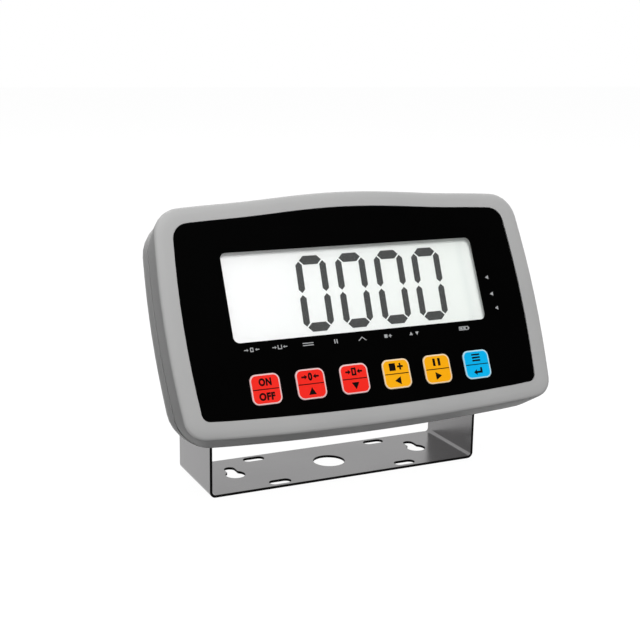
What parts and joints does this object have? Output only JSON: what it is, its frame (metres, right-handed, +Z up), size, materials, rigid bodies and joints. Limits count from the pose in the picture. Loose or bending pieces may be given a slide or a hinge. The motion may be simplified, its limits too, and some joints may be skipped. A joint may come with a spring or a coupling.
{
  "type": "weighing indicator",
  "caption": "Weighing indicator: arched plastic housing with keys and a large digit display, tilting between the arms of a bent sheet-steel stand and clamped by hand knobs.",
  "frame": {"origin": "centre of the round hole in the middle of the stand's plate, on the plate's underside", "axes": "+X to the right seen from the front, along the stand's plate; +Y to the back; +Z up, square to the plate"},
  "size_m": [0.2292, 0.1089, 0.1641],
  "materials": {
    "sheet_steel": "satin rolled sheet with sheared edges",
    "shell_plastic": "fine textured grey moulding",
    "seal_rubber": "matt",
    "panel_film": "semi-gloss printed film",
    "clear_lens": "clear",
    "display_white": "smooth",
    "segment_dark": "matt",
    "white_plastic": "satin",
    "contact_rubber": "matt",
    "board_green": "solder mask",
    "screw_steel": "zinc plated",
    "black_plastic": "satin moulding",
    "key_red": "semi-gloss",
    "key_amber": "semi-gloss",
    "key_blue": "semi-gloss",
    "plunger_plastic": "satin",
    "can_blue": "sleeved",
    "ribbon_grey": "satin",
    "battery_case": "satin",
    "brass": "plain",
    "wire_red": "smooth",
    "foam": "closed-cell foam"
  },
  "bodies": {
    "bracket": {"bracket": "sheet_steel"},
    "housing": {"front_shell": "shell_plastic", "rear_shell": "shell_plastic", "housing_seal": "seal_rubber", "overlay": "panel_film", "window_lens": "clear_lens", "lcd_glass": "display_white", "lcd_segments": "segment_dark", "lcd_frame": "white_plastic", "lcd_diffuser": "white_plastic", "lcd_contact_strips": "contact_rubber", "display_board": "board_green", "display_board_screws": "screw_steel", "tact_switches": "black_plastic", "shell_screws": "screw_steel", "main_board": "board_green", "main_board_screws": "screw_steel", "processor_chips": "black_plastic", "capacitors": "can_blue", "buzzer": "black_plastic", "board_headers": "white_plastic", "ribbon_cable": "ribbon_grey", "battery": "battery_case", "battery_terminals": "brass", "battery_leads": "wire_red", "battery_pad": "foam", "gland_body": "black_plastic", "gland_cap": "black_plastic", "gland_seal": "seal_rubber", "gland_locknut": "black_plastic", "power_jack": "black_plastic", "power_jack_pin": "brass", "power_jack_nut": "screw_steel", "pivot_inserts": "brass", "friction_washers": "seal_rubber"},
    "key_on_off": {"key_on_off": "key_red", "plunger_on_off": "plunger_plastic"},
    "key_zero": {"key_zero": "key_red", "plunger_zero": "plunger_plastic"},
    "key_tare": {"key_tare": "key_red", "plunger_tare": "plunger_plastic"},
    "key_memory": {"key_memory": "key_amber", "plunger_memory": "plunger_plastic"},
    "key_hold": {"key_hold": "key_amber", "plunger_hold": "plunger_plastic"},
    "key_enter": {"key_enter": "key_blue", "plunger_enter": "plunger_plastic"},
    "battery_door": {"battery_door": "shell_plastic"},
    "washer_left": {"knob_washer_left": "screw_steel"},
    "knob_left": {"knob_left": "black_plastic", "knob_stud_left": "screw_steel"},
    "washer_right": {"knob_washer_right": "screw_steel"},
    "knob_right": {"knob_right": "black_plastic", "knob_stud_right": "screw_steel"}
  },
  "joints": [
    {"name": "tilt", "type": "hinge", "parent": "bracket", "child": "housing", "pos_m": [0, 0, 0.0859], "axis": [-1, 0, 0], "range_deg": [-12, 64]},
    {"name": "press_on_off", "type": "slide", "parent": "housing", "child": "key_on_off", "axis": [0, 0.8988, -0.4384], "range_m": [0, 0.0004], "stiffness_N_per_m": 4000, "springref_m": -0.0001},
    {"name": "press_zero", "type": "slide", "parent": "housing", "child": "key_zero", "axis": [0, 0.8988, -0.4384], "range_m": [0, 0.0004], "stiffness_N_per_m": 4000, "springref_m": -0.0001},
    {"name": "press_tare", "type": "slide", "parent": "housing", "child": "key_tare", "axis": [0, 0.8988, -0.4384], "range_m": [0, 0.0004], "stiffness_N_per_m": 4000, "springref_m": -0.0001},
    {"name": "press_memory", "type": "slide", "parent": "housing", "child": "key_memory", "axis": [0, 0.8988, -0.4384], "range_m": [0, 0.0004], "stiffness_N_per_m": 4000, "springref_m": -0.0001},
    {"name": "press_hold", "type": "slide", "parent": "housing", "child": "key_hold", "axis": [0, 0.8988, -0.4384], "range_m": [0, 0.0004], "stiffness_N_per_m": 4000, "springref_m": -0.0001},
    {"name": "press_enter", "type": "slide", "parent": "housing", "child": "key_enter", "axis": [0, 0.8988, -0.4384], "range_m": [0, 0.0004], "stiffness_N_per_m": 4000, "springref_m": -0.0001},
    {"name": "door_slide", "type": "slide", "parent": "housing", "child": "battery_door", "axis": [0, -0.4384, -0.8988], "range_m": [0, 0.012]},
    {"name": "washer_left_shift", "type": "slide", "parent": "housing", "child": "washer_left", "axis": [-1, 0, 0], "range_m": [0, 0.002]},
    {"name": "knob_left_turn", "type": "hinge", "parent": "washer_left", "child": "knob_left", "pos_m": [-0.0861, 0, 0.0859], "axis": [-1, 0, 0], "range_deg": [0, 720]},
    {"name": "washer_right_shift", "type": "slide", "parent": "housing", "child": "washer_right", "axis": [1, 0, 0], "range_m": [0, 0.002]},
    {"name": "knob_right_turn", "type": "hinge", "parent": "washer_right", "child": "knob_right", "pos_m": [0.0861, 0, 0.0859], "axis": [1, 0, 0], "range_deg": [0, 720]}
  ],
  "couplings": [
    {"joint": "washer_left_shift", "follows": "knob_left_turn", "m_per_rad": 0.000159},
    {"joint": "washer_right_shift", "follows": "knob_right_turn", "m_per_rad": 0.000159}
  ]
}
